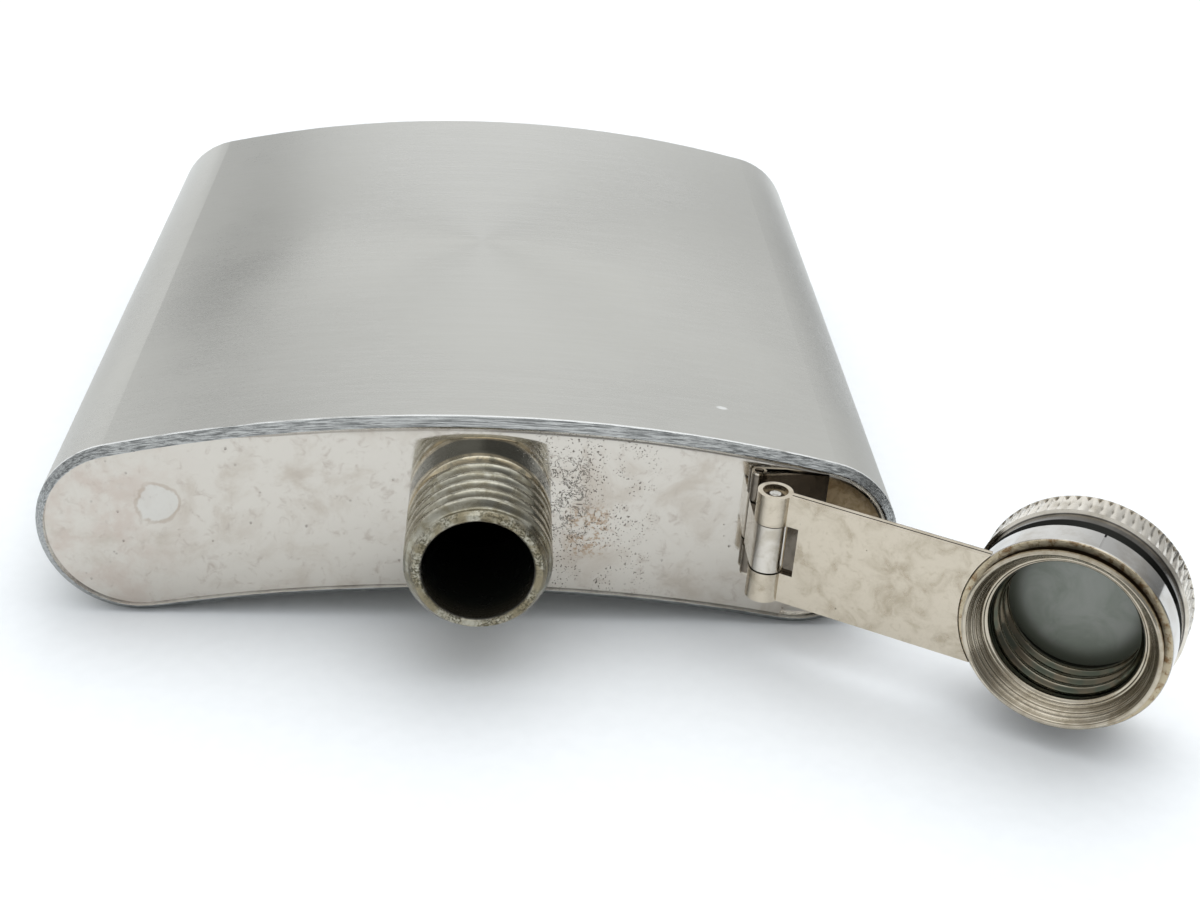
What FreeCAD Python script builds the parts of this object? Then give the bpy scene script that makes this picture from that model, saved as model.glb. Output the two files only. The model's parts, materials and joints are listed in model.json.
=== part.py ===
import FreeCAD
import Part
import math
import os
import Sketcher

# Hip flask with a captive screw cap, lying on its hollow back with the cap arm swung open.
# Millimetres. The origin is on the axis of the neck, in the plane of the front rim.
# +Y runs into the flask, the neck points along -Y, and +Z points away from the hollow back.

DOCUMENT_NAME = "hip_flask"

SIZES = [
    # body tube: a kidney section with the hollow side down
    ("body_width", 93.0),
    ("body_length", 100.0),
    ("crown_radius", 167.0),
    ("hollow_radius", 192.0),
    ("upper_end_radius", 10.0),
    ("lower_end_radius", 10.5),
    ("wall", 0.6),
    ("rim_bevel", 0.85),
    ("rim_width", 0.95),
    ("rim_depth", 1.6),
    # end plates, pressed as shallow pans
    ("plate_thickness", 0.6),
    ("plate_edge_radius", 0.5),
    ("plate_skirt", 4.0),
    ("top_recess", 0.3),
    ("bottom_recess", 0.0),
    # neck
    ("neck_height", 14.0),
    ("neck_offset", 0.8),
    ("neck_radius", 7.65),
    ("neck_bore", 5.75),
    ("neck_length", 12.55),
    ("neck_tip_radius", 6.6),
    ("neck_lead", 1.5),
    ("neck_flange_radius", 8.45),
    ("neck_flange_thickness", 0.9),
    ("lip_break", 0.2),
    ("thread_pitch", 1.8),
    ("thread_depth", 0.6),
    ("thread_crest", 0.55),
    ("neck_thread_start", 1.5),
    ("neck_thread_turns", 5.0),
    # hinge: its line drops from the neck axis towards the free end of the plate
    ("hinge_tilt", 1.3),
    ("hinge_lift", 0.25),
    ("bracket_width", 12.6),
    ("bracket_taper", 0.6),
    ("bracket_taper_run", 4.8),
    ("bracket_sheet", 0.34),
    ("bracket_foot", 1.6),
    ("bracket_pin_x", 29.4),
    ("bracket_end_x", 37.1),
    ("bracket_pin_radius", 0.36),
    ("curl_radius", 0.8),
    ("curl_recess_radius", 0.52),
    ("curl_recess_depth", 0.7),
    ("slot_height", 5.8),
    ("slot_end_x", 32.6),
    ("link_height", 5.5),
    ("link_small_radius", 0.68),
    ("link_large_radius", 1.78),
    ("arm_pin_x", 30.6),
    ("arm_pin_standoff", 4.8),
    ("arm_pin_radius", 0.6),
    ("pin_clearance", 0.05),
    # arm: a strip folded double round its pin, ending at the collar
    ("arm_open_angle", 151.3),
    ("arm_length", 31.7),
    ("arm_width", 12.7),
    ("arm_thickness", 1.2),
    ("knuckle_radius", 1.88),
    ("notch_depth", 3.2),
    ("knuckle_recess_radius", 1.35),
    ("knuckle_recess_depth", 0.7),
    ("seam_width", 0.14),
    ("seam_depth", 0.35),
    ("collar_radius", 10.7),
    ("collar_bore", 9.35),
    ("collar_length", 3.3),
    ("collar_edge", 0.15),
    ("collar_joint_width", 0.2),
    ("collar_joint_depth", 0.35),
    ("collar_joint_margin", 0.3),
    ("collar_joint_angle", 98.0),
    # cap: a threaded sleeve with a flared lip, pressed into a knurled head
    ("cap_lip_stand", 1.95),
    ("lip_radius", 9.95),
    ("lip_thickness", 0.5),
    ("lip_edge", 0.17),
    ("mouth_radius", 9.45),
    ("mouth_bevel_depth", 0.55),
    ("mouth_bevel_radius", 8.65),
    ("mouth_wall_depth", 1.9),
    ("mouth_wall_radius", 8.3),
    ("step_depth", 2.3),
    ("step_radius", 7.75),
    ("shank_radius", 9.0),
    ("shank_end", 5.5),
    ("spigot_radius", 8.6),
    ("sleeve_end", 9.2),
    ("cap_bore", 7.15),
    ("cap_bore_start", 2.8),
    ("cap_thread_start", 5.35),
    ("cap_thread_turns", 3.0),
    ("head_band_radius", 10.6),
    ("head_radius", 11.0),
    ("head_band_end", 7.35),
    ("head_edge", 0.5),
    ("grip_edge", 0.25),
    ("head_bevel", 0.7),
    ("head_end", 11.6),
    ("seal_radius", 7.7),
    ("seal_clearance", 0.1),
    ("seal_thickness", 1.1),
    ("seal_pocket_end", 10.4),
]


class Size:
    """A length or an angle that knows both its number and its cell formula."""

    def __init__(self, value, text):
        self.value = value
        self.text = text

    def __add__(self, other):
        other = as_size(other)
        return Size(self.value + other.value, f"({self.text} + {other.text})")

    def __sub__(self, other):
        other = as_size(other)
        return Size(self.value - other.value, f"({self.text} - {other.text})")

    def __mul__(self, other):
        other = as_size(other)
        return Size(self.value * other.value, f"({self.text} * {other.text})")

    def __truediv__(self, other):
        other = as_size(other)
        return Size(self.value / other.value, f"({self.text} / {other.text})")

    def __neg__(self):
        return Size(-self.value, f"(0 - {self.text})")


def as_size(number):
    if isinstance(number, Size):
        return number
    return Size(float(number), repr(float(number)))


document = FreeCAD.newDocument(DOCUMENT_NAME)
sheet = document.addObject("Spreadsheet::Sheet", "dims")
for row, (alias, number) in enumerate(SIZES, start=1):
    sheet.set(f"A{row}", alias)
    sheet.set(f"B{row}", str(number))
    sheet.setAlias(f"B{row}", alias)
document.recompute()


def size(alias):
    return Size(float(sheet.get(alias)), f"dims.{alias}")


def bind(item, name, value):
    item.setExpression(name, as_size(value).text)


# ---- sketches --------------------------------------------------------------------------------

ORIGIN_POINT = -1
HORIZONTAL_AXIS = -1
VERTICAL_AXIS = -2
START = 1
END = 2
CENTRE = 3


def new_body(label):
    body = document.addObject("PartDesign::Body", label)
    body.Label = label
    return body


def origin_feature(body, role):
    for feature in body.Origin.OriginFeatures:
        if feature.Role == role:
            return feature
    raise RuntimeError(f"{body.Label} has no {role}")


def new_sketch(body, role, name, depth=None):
    """A sketch on an origin plane of the body, or at a depth behind it."""
    sketch = body.newObject("Sketcher::SketchObject", name)
    sketch.AttachmentSupport = [(origin_feature(body, role), "")]
    sketch.MapMode = "FlatFace"
    if depth is not None:
        bind(sketch, "AttachmentOffset.Base.z", depth)
    return sketch


def drive(sketch, kind, first, first_point, second, second_point, value):
    value = as_size(value)
    number = sketch.addConstraint(
        Sketcher.Constraint(kind, first, first_point, second, second_point, value.value)
    )
    sketch.setExpression(f"Constraints[{number}]", value.text)


def fix_point(sketch, geometry, point, across, up):
    """Hold a point at a place that follows the sheet."""
    across = as_size(across)
    up = as_size(up)
    if across.value == 0:
        sketch.addConstraint(Sketcher.Constraint("PointOnObject", geometry, point, VERTICAL_AXIS))
    else:
        drive(sketch, "DistanceX", ORIGIN_POINT, START, geometry, point, across)
    if up.value == 0:
        sketch.addConstraint(Sketcher.Constraint("PointOnObject", geometry, point, HORIZONTAL_AXIS))
    else:
        drive(sketch, "DistanceY", ORIGIN_POINT, START, geometry, point, up)


def fix_radius(sketch, geometry, radius):
    radius = as_size(radius)
    number = sketch.addConstraint(Sketcher.Constraint("Radius", geometry, radius.value))
    sketch.setExpression(f"Constraints[{number}]", radius.text)


def polygon(sketch, corners):
    """A closed outline of straight lines; each corner follows the sheet."""
    corners = [(as_size(across), as_size(up)) for across, up in corners]
    points = [FreeCAD.Vector(across.value, up.value, 0) for across, up in corners]
    first = sketch.GeometryCount
    count = len(points)
    for index in range(count):
        sketch.addGeometry(Part.LineSegment(points[index], points[(index + 1) % count]))
    for index in range(count):
        following = first + (index + 1) % count
        sketch.addConstraint(Sketcher.Constraint("Coincident", first + index, END, following, START))
    for index, (across, up) in enumerate(corners):
        fix_point(sketch, first + index, START, across, up)


def circle(sketch, across, up, radius):
    centre = FreeCAD.Vector(as_size(across).value, as_size(up).value, 0)
    geometry = sketch.addGeometry(
        Part.Circle(centre, FreeCAD.Vector(0, 0, 1), as_size(radius).value)
    )
    fix_radius(sketch, geometry, radius)
    if as_size(across).value == 0 and as_size(up).value == 0:
        sketch.addConstraint(
            Sketcher.Constraint("Coincident", geometry, CENTRE, ORIGIN_POINT, START)
        )
    else:
        fix_point(sketch, geometry, CENTRE, across, up)


def arc(sketch, across, up, radius, start_angle, end_angle):
    base = Part.Circle(FreeCAD.Vector(across, up, 0), FreeCAD.Vector(0, 0, 1), radius)
    return sketch.addGeometry(Part.ArcOfCircle(base, start_angle, end_angle))


def kidney(sketch, inset):
    """The body's section, moved in from the outer surface by the inset."""
    half_width = size("body_width") / 2
    end_height = size("lower_end_radius") - size("neck_height")
    upper = size("upper_end_radius")
    lower = size("lower_end_radius")
    crown = size("crown_radius")
    hollow = size("hollow_radius")
    upper_x = half_width - upper
    lower_x = half_width - lower
    crown_run = crown.value - upper.value
    hollow_run = hollow.value + lower.value
    crown_centre = end_height.value - math.sqrt(crown_run**2 - upper_x.value**2)
    hollow_centre = end_height.value - math.sqrt(hollow_run**2 - lower_x.value**2)
    crown_angle = math.acos(upper_x.value / crown_run)
    hollow_angle = math.acos(lower_x.value / hollow_run)
    half_turn = math.pi
    full_turn = 2 * math.pi
    inset = as_size(inset)
    upper_left = arc(sketch, -upper_x.value, end_height.value, upper.value - inset.value,
                     half_turn - crown_angle, half_turn)
    lower_left = arc(sketch, -lower_x.value, end_height.value, lower.value - inset.value,
                     half_turn, full_turn - hollow_angle)
    bottom = arc(sketch, 0, hollow_centre, hollow.value + inset.value,
                 hollow_angle, half_turn - hollow_angle)
    lower_right = arc(sketch, lower_x.value, end_height.value, lower.value - inset.value,
                      half_turn + hollow_angle, full_turn)
    upper_right = arc(sketch, upper_x.value, end_height.value, upper.value - inset.value,
                      0, crown_angle)
    top = arc(sketch, 0, crown_centre, crown.value - inset.value,
              crown_angle, half_turn - crown_angle)
    joins = [
        (bottom, START, lower_right, START),
        (bottom, END, lower_left, END),
        (lower_right, END, upper_right, START),
        (upper_right, END, top, START),
        (top, END, upper_left, START),
        (upper_left, END, lower_left, START),
    ]
    for join in joins:
        sketch.addConstraint(Sketcher.Constraint("Tangent", *join))
    for geometry, side in ((upper_right, 1), (upper_left, -1)):
        fix_point(sketch, geometry, CENTRE, upper_x * side, end_height)
        fix_radius(sketch, geometry, upper - inset)
    for geometry in (lower_right, lower_left):
        drive(sketch, "DistanceY", ORIGIN_POINT, START, geometry, CENTRE, end_height)
        fix_radius(sketch, geometry, lower - inset)
    fix_radius(sketch, top, crown - inset)
    fix_radius(sketch, bottom, hollow + inset)


# ---- features --------------------------------------------------------------------------------

FULL_TURN = 360
LEAST_CUT = 1e-6
SAME_PLANE = 1e-5
# A cutting outline runs past the metal by this many times the metal's own size.
CUT_REACH = 2


def finish_feature(body):
    """Recompute, and check that the newest feature of the body is a good solid."""
    document.recompute()
    tip = body.Tip
    if "Invalid" in tip.State or "Error" in tip.State or tip.Shape.isNull():
        raise RuntimeError(f"{body.Label}: {tip.Label} failed")
    return tip


def pad(body, sketch, length, towards_back=False, centred=False):
    feature = body.newObject("PartDesign::Pad", f"{body.Label}_pad")
    feature.Profile = sketch
    bind(feature, "Length", length)
    feature.Reversed = towards_back
    feature.Midplane = centred
    return finish_feature(body)


def removes_metal(body, before):
    if not body.Tip.Shape.Volume < before - LEAST_CUT:
        raise RuntimeError(f"{body.Label}: {body.Tip.Label} cut nothing")


def pocket(body, sketch, length, reverse=False, centred=False):
    before = body.Tip.Shape.Volume
    feature = body.newObject("PartDesign::Pocket", f"{body.Label}_pocket")
    feature.Profile = sketch
    bind(feature, "Length", length)
    feature.Reversed = reverse
    feature.Midplane = centred
    finish_feature(body)
    removes_metal(body, before)


def pocket_both_ends(body, name, draw, width, depth):
    """Sink the same outline into the two end faces of a strip that is centred on its sketch plane."""
    floor = width / 2 - depth
    for side, level, reverse in (("upper", floor, True), ("lower", -floor, False)):
        sketch = new_sketch(body, "XY_Plane", f"{name}_{side}", level)
        draw(sketch)
        pocket(body, sketch, depth, reverse)


def revolve(body, sketch, axis):
    feature = body.newObject("PartDesign::Revolution", f"{body.Label}_revolve")
    feature.Profile = sketch
    feature.ReferenceAxis = (origin_feature(body, axis), [""])
    feature.Angle = FULL_TURN
    return finish_feature(body)


def groove_rows(body, sketch, axis, pitch, turns, backwards=False):
    """Cut a ring groove and repeat it along its axis."""
    before = body.Tip.Shape.Volume
    groove = body.newObject("PartDesign::Groove", f"{body.Label}_groove")
    groove.Profile = sketch
    groove.ReferenceAxis = (origin_feature(body, axis), [""])
    groove.Angle = FULL_TURN
    finish_feature(body)
    removes_metal(body, before)
    before = body.Tip.Shape.Volume
    rows = body.newObject("PartDesign::LinearPattern", f"{body.Label}_grooves")
    rows.Originals = [groove]
    rows.Direction = (origin_feature(body, axis), [""])
    rows.Reversed = backwards
    bind(rows, "Length", pitch * (turns - 1))
    bind(rows, "Occurrences", turns)
    body.Tip = rows
    finish_feature(body)
    removes_metal(body, before)


def end_loop(shape, height):
    """The names of the edges that lie wholly in the plane at this height along Y."""
    names = []
    for number, edge in enumerate(shape.Edges, start=1):
        box = edge.BoundBox
        if abs(box.YMin - height) < SAME_PLANE and abs(box.YMax - height) < SAME_PLANE:
            names.append(f"Edge{number}")
    return names


def chamfer(body, names, amount):
    base = body.Tip
    feature = body.newObject("PartDesign::Chamfer", f"{body.Label}_chamfer")
    feature.Base = (base, names)
    bind(feature, "Size", amount)
    return finish_feature(body)


def fillet(body, names, radius):
    base = body.Tip
    feature = body.newObject("PartDesign::Fillet", f"{body.Label}_fillet")
    feature.Base = (base, names)
    bind(feature, "Radius", radius)
    return finish_feature(body)


# ---- places ----------------------------------------------------------------------------------

ACROSS = FreeCAD.Vector(1, 0, 0)
INWARD = FreeCAD.Vector(0, 1, 0)
UPWARD = FreeCAD.Vector(0, 0, 1)

flask_place = FreeCAD.Placement(ACROSS * -size("neck_offset").value, FreeCAD.Rotation())
hinge_place = FreeCAD.Placement(
    UPWARD * size("hinge_lift").value, FreeCAD.Rotation(INWARD, size("hinge_tilt").value)
)
bracket_pin_y = size("top_recess") - size("curl_radius")
bracket_pin_place = hinge_place * FreeCAD.Placement(
    FreeCAD.Vector(size("bracket_pin_x").value, bracket_pin_y.value, 0), FreeCAD.Rotation()
)
arm_pin_y = -size("arm_pin_standoff")
arm_pin_place = hinge_place * FreeCAD.Placement(
    FreeCAD.Vector(size("arm_pin_x").value, arm_pin_y.value, 0), FreeCAD.Rotation()
)
arm_place = arm_pin_place * FreeCAD.Placement(
    FreeCAD.Vector(), FreeCAD.Rotation(UPWARD, size("arm_open_angle").value)
)
collar_place = arm_place * FreeCAD.Placement(
    ACROSS * -size("arm_length").value, FreeCAD.Rotation()
)
cap_place = collar_place * FreeCAD.Placement(
    INWARD * size("cap_lip_stand").value, FreeCAD.Rotation()
)


# ---- flask body ------------------------------------------------------------------------------


def make_body_shell():
    body = new_body("body_shell")
    outer = new_sketch(body, "XZ_Plane", "shell_outline")
    kidney(outer, 0)
    pad(body, outer, size("body_length"), towards_back=True)
    length = size("body_length").value
    rims = end_loop(body.Tip.Shape, 0) + end_loop(body.Tip.Shape, length)
    chamfer(body, rims, size("rim_bevel"))
    mouth = new_sketch(body, "XZ_Plane", "shell_mouth")
    kidney(mouth, size("rim_width"))
    pocket(body, mouth, size("body_length"))
    hollow = new_sketch(body, "XZ_Plane", "shell_hollow", -size("rim_depth"))
    kidney(hollow, size("wall"))
    pocket(body, hollow, size("body_length") - size("rim_depth") * 2)
    body.Placement = flask_place
    return body


def make_end_plate(label, face, inward):
    """A pan whose outer face is at the given place along Y; inward is 1 or -1."""
    body = new_body(label)
    to_back = inward > 0
    outline = new_sketch(body, "XZ_Plane", f"{label}_outline", -face)
    kidney(outline, size("rim_width"))
    pad(body, outline, size("plate_skirt"), towards_back=to_back)
    fillet(body, end_loop(body.Tip.Shape, face.value), size("plate_edge_radius"))
    inside_depth = -(face + size("plate_thickness") * inward)
    inside = new_sketch(body, "XZ_Plane", f"{label}_inside", inside_depth)
    kidney(inside, size("rim_width") + size("plate_thickness"))
    pocket(body, inside, size("plate_skirt"), reverse=not to_back)
    body.Placement = flask_place
    return body


def make_top_plate():
    body = make_end_plate("top_plate", size("top_recess"), 1)
    hole = new_sketch(body, "XZ_Plane", "neck_hole")
    circle(hole, size("neck_offset"), 0, size("neck_radius"))
    pocket(body, hole, size("plate_skirt"))
    return body


def make_bottom_plate():
    return make_end_plate("bottom_plate", size("body_length") - size("bottom_recess"), -1)


def make_neck():
    body = new_body("neck")
    bore = size("neck_bore")
    outer = size("neck_radius")
    tip = -size("neck_length")
    lip = size("lip_break")
    flange_start = size("top_recess") + size("plate_thickness")
    flange_end = flange_start + size("neck_flange_thickness")
    section = new_sketch(body, "XY_Plane", "neck_section")
    polygon(section, [
        (bore + lip, tip),
        (size("neck_tip_radius"), tip),
        (outer, tip + size("neck_lead")),
        (outer, flange_start),
        (size("neck_flange_radius"), flange_start),
        (size("neck_flange_radius"), flange_end),
        (bore, flange_end),
        (bore, tip + lip),
    ])
    revolve(body, section, "Y_Axis")
    half_crest = size("thread_crest") / 2
    half_pitch = size("thread_pitch") / 2
    root = outer - size("thread_depth")
    first = tip + size("neck_thread_start")
    ridge = new_sketch(body, "XY_Plane", "neck_thread")
    over = size("lip_break")
    polygon(ridge, [
        (outer + over, first),
        (outer, first),
        (root, first + half_pitch - half_crest),
        (root, first + half_pitch),
        (outer, first + half_pitch * 2 - half_crest),
        (outer + over, first + half_pitch * 2 - half_crest),
    ])
    groove_rows(body, ridge, "Y_Axis", size("thread_pitch"), size("neck_thread_turns"))
    return body


# ---- hinge -----------------------------------------------------------------------------------


def make_hinge_bracket():
    """A strip bent double round its pin; its leaves meet where they are brazed to the plate."""
    body = new_body("hinge_bracket")
    curl = size("curl_radius")
    past = curl * CUT_REACH
    sheet_metal = size("bracket_sheet")
    run = size("bracket_end_x") - size("bracket_pin_x")
    section = new_sketch(body, "XY_Plane", "bracket_curl")
    circle(section, 0, 0, curl)
    pad(body, section, size("bracket_width"), centred=True)
    leaves = {
        "back": [
            (0, curl - sheet_metal),
            (run, curl - sheet_metal),
            (run, curl),
            (0, curl),
        ],
        "front": [
            (0, -curl),
            (run, curl - sheet_metal),
            (run, curl),
            (run - size("bracket_foot"), curl),
            (0, -curl + sheet_metal),
        ],
    }
    for name, corners in leaves.items():
        leaf = new_sketch(body, "XY_Plane", f"bracket_{name}_leaf")
        polygon(leaf, corners)
        pad(body, leaf, size("bracket_width"), centred=True)
    slot = new_sketch(body, "XY_Plane", "bracket_slot")
    slot_end = size("slot_end_x") - size("bracket_pin_x")
    polygon(slot, [
        (-past, -past),
        (slot_end, -past),
        (slot_end, past),
        (-past, past),
    ])
    pocket(body, slot, size("slot_height"), centred=True)
    hole = new_sketch(body, "XY_Plane", "bracket_hole")
    circle(hole, 0, 0, size("bracket_pin_radius"))
    pocket(body, hole, size("bracket_width"), centred=True)
    pocket_both_ends(body, "bracket_recess", lambda sketch: circle(sketch, 0, 0, size("curl_recess_radius")),
                     size("bracket_width"), size("curl_recess_depth"))
    half_width = size("bracket_width") / 2
    taper_start = run - size("bracket_taper_run")
    for side, name in ((1, "upper"), (-1, "lower")):
        corner = new_sketch(body, "XZ_Plane", f"bracket_{name}_taper")
        polygon(corner, [
            (taper_start, half_width * side),
            (run + curl, half_width * side),
            (run + curl, (half_width - size("bracket_taper")) * side),
            (run, (half_width - size("bracket_taper")) * side),
        ])
        pocket(body, corner, past * 2, centred=True)
    body.Placement = bracket_pin_place
    return body


def make_pin(label, radius, length, place):
    pin = document.addObject("Part::Cylinder", label)
    pin.Label = label
    bind(pin, "Radius", radius)
    bind(pin, "Height", length)
    half = as_size(length).value / 2
    pin.Placement = place * FreeCAD.Placement(UPWARD * -half, FreeCAD.Rotation())
    return pin


def tapered_link_edges(small, large, gap_x, gap_y):
    """Two arcs and the two lines that touch both of them, as a closed wire."""
    length = math.hypot(gap_x, gap_y)
    heading = math.atan2(gap_y, gap_x)
    spread = math.acos((small - large) / length)
    corners = []
    for centre_x, centre_y, radius in ((0, 0, small), (gap_x, gap_y, large)):
        for side in (1, -1):
            angle = heading + side * spread
            corners.append(FreeCAD.Vector(
                centre_x + radius * math.cos(angle), centre_y + radius * math.sin(angle), 0
            ))
    small_left, small_right, large_left, large_right = corners
    small_back = FreeCAD.Vector(-small * math.cos(heading), -small * math.sin(heading), 0)
    large_front = FreeCAD.Vector(
        gap_x + large * math.cos(heading), gap_y + large * math.sin(heading), 0
    )
    return Part.Wire([
        Part.Arc(small_left, small_back, small_right).toShape(),
        Part.LineSegment(small_right, large_right).toShape(),
        Part.Arc(large_right, large_front, large_left).toShape(),
        Part.LineSegment(large_left, small_left).toShape(),
    ])


def make_hinge_link():
    """The loose middle knuckle: a tapered eye round each pin. Its outline is worked out here."""
    gap_x = size("arm_pin_x").value - size("bracket_pin_x").value
    gap_y = arm_pin_y.value - bracket_pin_y.value
    height = size("link_height").value
    outline = tapered_link_edges(
        size("link_small_radius").value, size("link_large_radius").value, gap_x, gap_y
    )
    outline.translate(UPWARD * (-height / 2))
    solid = Part.Face(outline).extrude(UPWARD * height)
    clearance = size("pin_clearance").value
    small_hole = Part.makeCylinder(
        size("bracket_pin_radius").value + clearance, height, UPWARD * (-height / 2), UPWARD
    )
    large_hole = Part.makeCylinder(
        size("arm_pin_radius").value + clearance, height,
        FreeCAD.Vector(gap_x, gap_y, -height / 2), UPWARD
    )
    link = document.addObject("Part::Feature", "hinge_link")
    link.Label = "hinge_link"
    link.Shape = solid.cut(small_hole).cut(large_hole)
    link.Placement = bracket_pin_place
    return link


# ---- arm -------------------------------------------------------------------------------------


def make_cap_arm():
    """The strip folded round the arm pin: two end knuckles, a notch, and an end cut to the collar."""
    body = new_body("cap_arm")
    half_thickness = size("arm_thickness") / 2
    width = size("arm_width")
    knuckle = size("knuckle_radius")
    past = knuckle * CUT_REACH
    roll = new_sketch(body, "XY_Plane", "arm_roll")
    circle(roll, 0, 0, knuckle)
    pad(body, roll, width, centred=True)
    strip = new_sketch(body, "XY_Plane", "arm_strip")
    reach = -size("arm_length")
    polygon(strip, [
        (0, -half_thickness),
        (0, half_thickness),
        (reach, half_thickness),
        (reach, -half_thickness),
    ])
    pad(body, strip, width, centred=True)
    ring_cut = new_sketch(body, "XZ_Plane", "arm_end")
    circle(ring_cut, reach, 0, size("collar_radius"))
    pocket(body, ring_cut, past, centred=True)
    notch = new_sketch(body, "XY_Plane", "arm_notch")
    polygon(notch, [
        (-size("notch_depth"), -past),
        (past, -past),
        (past, past),
        (-size("notch_depth"), past),
    ])
    pocket(body, notch, size("slot_height"), centred=True)
    hole = new_sketch(body, "XY_Plane", "arm_hole")
    circle(hole, 0, 0, size("arm_pin_radius"))
    pocket(body, hole, width, centred=True)
    pocket_both_ends(body, "arm_recess", lambda sketch: circle(sketch, 0, 0, size("knuckle_recess_radius")),
                     width, size("knuckle_recess_depth"))
    half_seam = size("seam_width") / 2
    seam = [(-knuckle, -half_seam), (-knuckle, half_seam), (reach, half_seam), (reach, -half_seam)]
    pocket_both_ends(body, "arm_seam", lambda sketch: polygon(sketch, seam), width, size("seam_depth"))
    body.Placement = arm_place
    return body


def make_arm_collar():
    """The ring at the end of the arm, bent from a strip, in which the cap turns."""
    body = new_body("arm_collar")
    front = size("arm_thickness") / 2
    back = front - size("collar_length")
    edge = size("collar_edge")
    section = new_sketch(body, "XY_Plane", "collar_section")
    polygon(section, [
        (size("collar_bore"), back),
        (size("collar_radius") - edge, back),
        (size("collar_radius"), back + edge),
        (size("collar_radius"), front - edge),
        (size("collar_radius") - edge, front),
        (size("collar_bore"), front),
    ])
    revolve(body, section, "Y_Axis")
    joint = document.addObject("Part::Box", "collar_joint")
    bind(joint, "Length", size("collar_joint_depth") * 2)
    bind(joint, "Width", size("collar_length"))
    bind(joint, "Height", size("collar_joint_width"))
    turn = FreeCAD.Rotation(INWARD, -size("collar_joint_angle").value)
    joint_start = FreeCAD.Vector(
        (size("collar_radius") - size("collar_joint_depth")).value,
        (back - size("collar_joint_margin")).value,
        -size("collar_joint_width").value / 2,
    )
    joint.Placement = FreeCAD.Placement(FreeCAD.Vector(), turn) * FreeCAD.Placement(
        joint_start, FreeCAD.Rotation()
    )
    body.Label = "collar_ring"
    collar = document.addObject("Part::Cut", "collar_with_joint")
    collar.Base = body
    collar.Tool = joint
    collar.Label = "arm_collar"
    collar.Placement = collar_place
    return collar


# ---- cap -------------------------------------------------------------------------------------


def make_cap_sleeve():
    """The threaded sleeve: a flared lip at its mouth, a plain shank, and a spigot in the head."""
    body = new_body("cap_sleeve")
    lip_back = -size("lip_thickness")
    edge = size("lip_edge")
    section = new_sketch(body, "XY_Plane", "sleeve_section")
    polygon(section, [
        (size("mouth_radius"), 0),
        (size("lip_radius") - edge, 0),
        (size("lip_radius"), -edge),
        (size("lip_radius"), lip_back),
        (size("shank_radius"), lip_back),
        (size("shank_radius"), -size("shank_end")),
        (size("spigot_radius"), -size("shank_end")),
        (size("spigot_radius"), -size("sleeve_end")),
        (size("cap_bore"), -size("sleeve_end")),
        (size("cap_bore"), -size("cap_bore_start")),
        (size("step_radius"), -size("step_depth")),
        (size("mouth_wall_radius"), -size("mouth_wall_depth")),
        (size("mouth_bevel_radius"), -size("mouth_bevel_depth")),
    ])
    revolve(body, section, "Y_Axis")
    half_crest = size("thread_crest") / 2
    half_pitch = size("thread_pitch") / 2
    bore = size("cap_bore")
    root = bore + size("thread_depth")
    first = -size("cap_thread_start")
    ridge = new_sketch(body, "XY_Plane", "sleeve_thread")
    polygon(ridge, [
        (bore - edge, first),
        (bore, first),
        (root, first + half_pitch - half_crest),
        (root, first + half_pitch),
        (bore, first + half_pitch * 2 - half_crest),
        (bore - edge, first + half_pitch * 2 - half_crest),
    ])
    groove_rows(body, ridge, "Y_Axis", size("thread_pitch"), size("cap_thread_turns"), backwards=True)
    body.Placement = cap_place
    return body


def make_cap_head():
    """The knurled head: a smooth band, the grip, a bevelled crown, and the pocket for the seal."""
    body = new_body("cap_head")
    section = new_sketch(body, "XY_Plane", "head_section")
    pocket_radius = size("seal_radius") + size("seal_clearance")
    polygon(section, [
        (size("spigot_radius"), -size("shank_end")),
        (size("head_band_radius") - size("head_edge"), -size("shank_end")),
        (size("head_band_radius"), -(size("shank_end") + size("head_edge"))),
        (size("head_band_radius"), -size("head_band_end")),
        (size("head_radius"), -(size("head_band_end") + size("grip_edge"))),
        (size("head_radius"), -(size("head_end") - size("head_bevel"))),
        (size("head_radius") - size("head_bevel"), -size("head_end")),
        (0, -size("head_end")),
        (0, -size("seal_pocket_end")),
        (pocket_radius, -size("seal_pocket_end")),
        (pocket_radius, -size("sleeve_end")),
        (size("spigot_radius"), -size("sleeve_end")),
    ])
    revolve(body, section, "Y_Axis")
    body.Placement = cap_place
    return body


def make_seal_disc():
    """The loose sealing disc, held between the sleeve's end and the head."""
    seal = document.addObject("Part::Cylinder", "seal_disc")
    seal.Label = "seal_disc"
    bind(seal, "Radius", size("seal_radius"))
    bind(seal, "Height", size("seal_thickness"))
    front = size("sleeve_end") + (size("seal_pocket_end") - size("sleeve_end")
                                  - size("seal_thickness")) / 2
    lying = FreeCAD.Rotation(ACROSS, 90)
    seal.Placement = cap_place * FreeCAD.Placement(INWARD * -front.value, lying)
    return seal


# ---- the whole part --------------------------------------------------------------------------

subparts = [
    make_body_shell(),
    make_top_plate(),
    make_bottom_plate(),
    make_neck(),
    make_hinge_bracket(),
    make_pin("bracket_pin", size("bracket_pin_radius"),
             size("bracket_width") - size("curl_recess_depth"), bracket_pin_place),
    make_hinge_link(),
    make_cap_arm(),
    make_pin("arm_pin", size("arm_pin_radius"),
             size("arm_width") - size("knuckle_recess_depth"), arm_pin_place),
    make_arm_collar(),
    make_cap_sleeve(),
    make_cap_head(),
    make_seal_disc(),
]
document.recompute()

for item in document.Objects:
    if "Invalid" in item.State or "Error" in item.State:
        raise RuntimeError(f"{item.Label} is in error")

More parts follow.
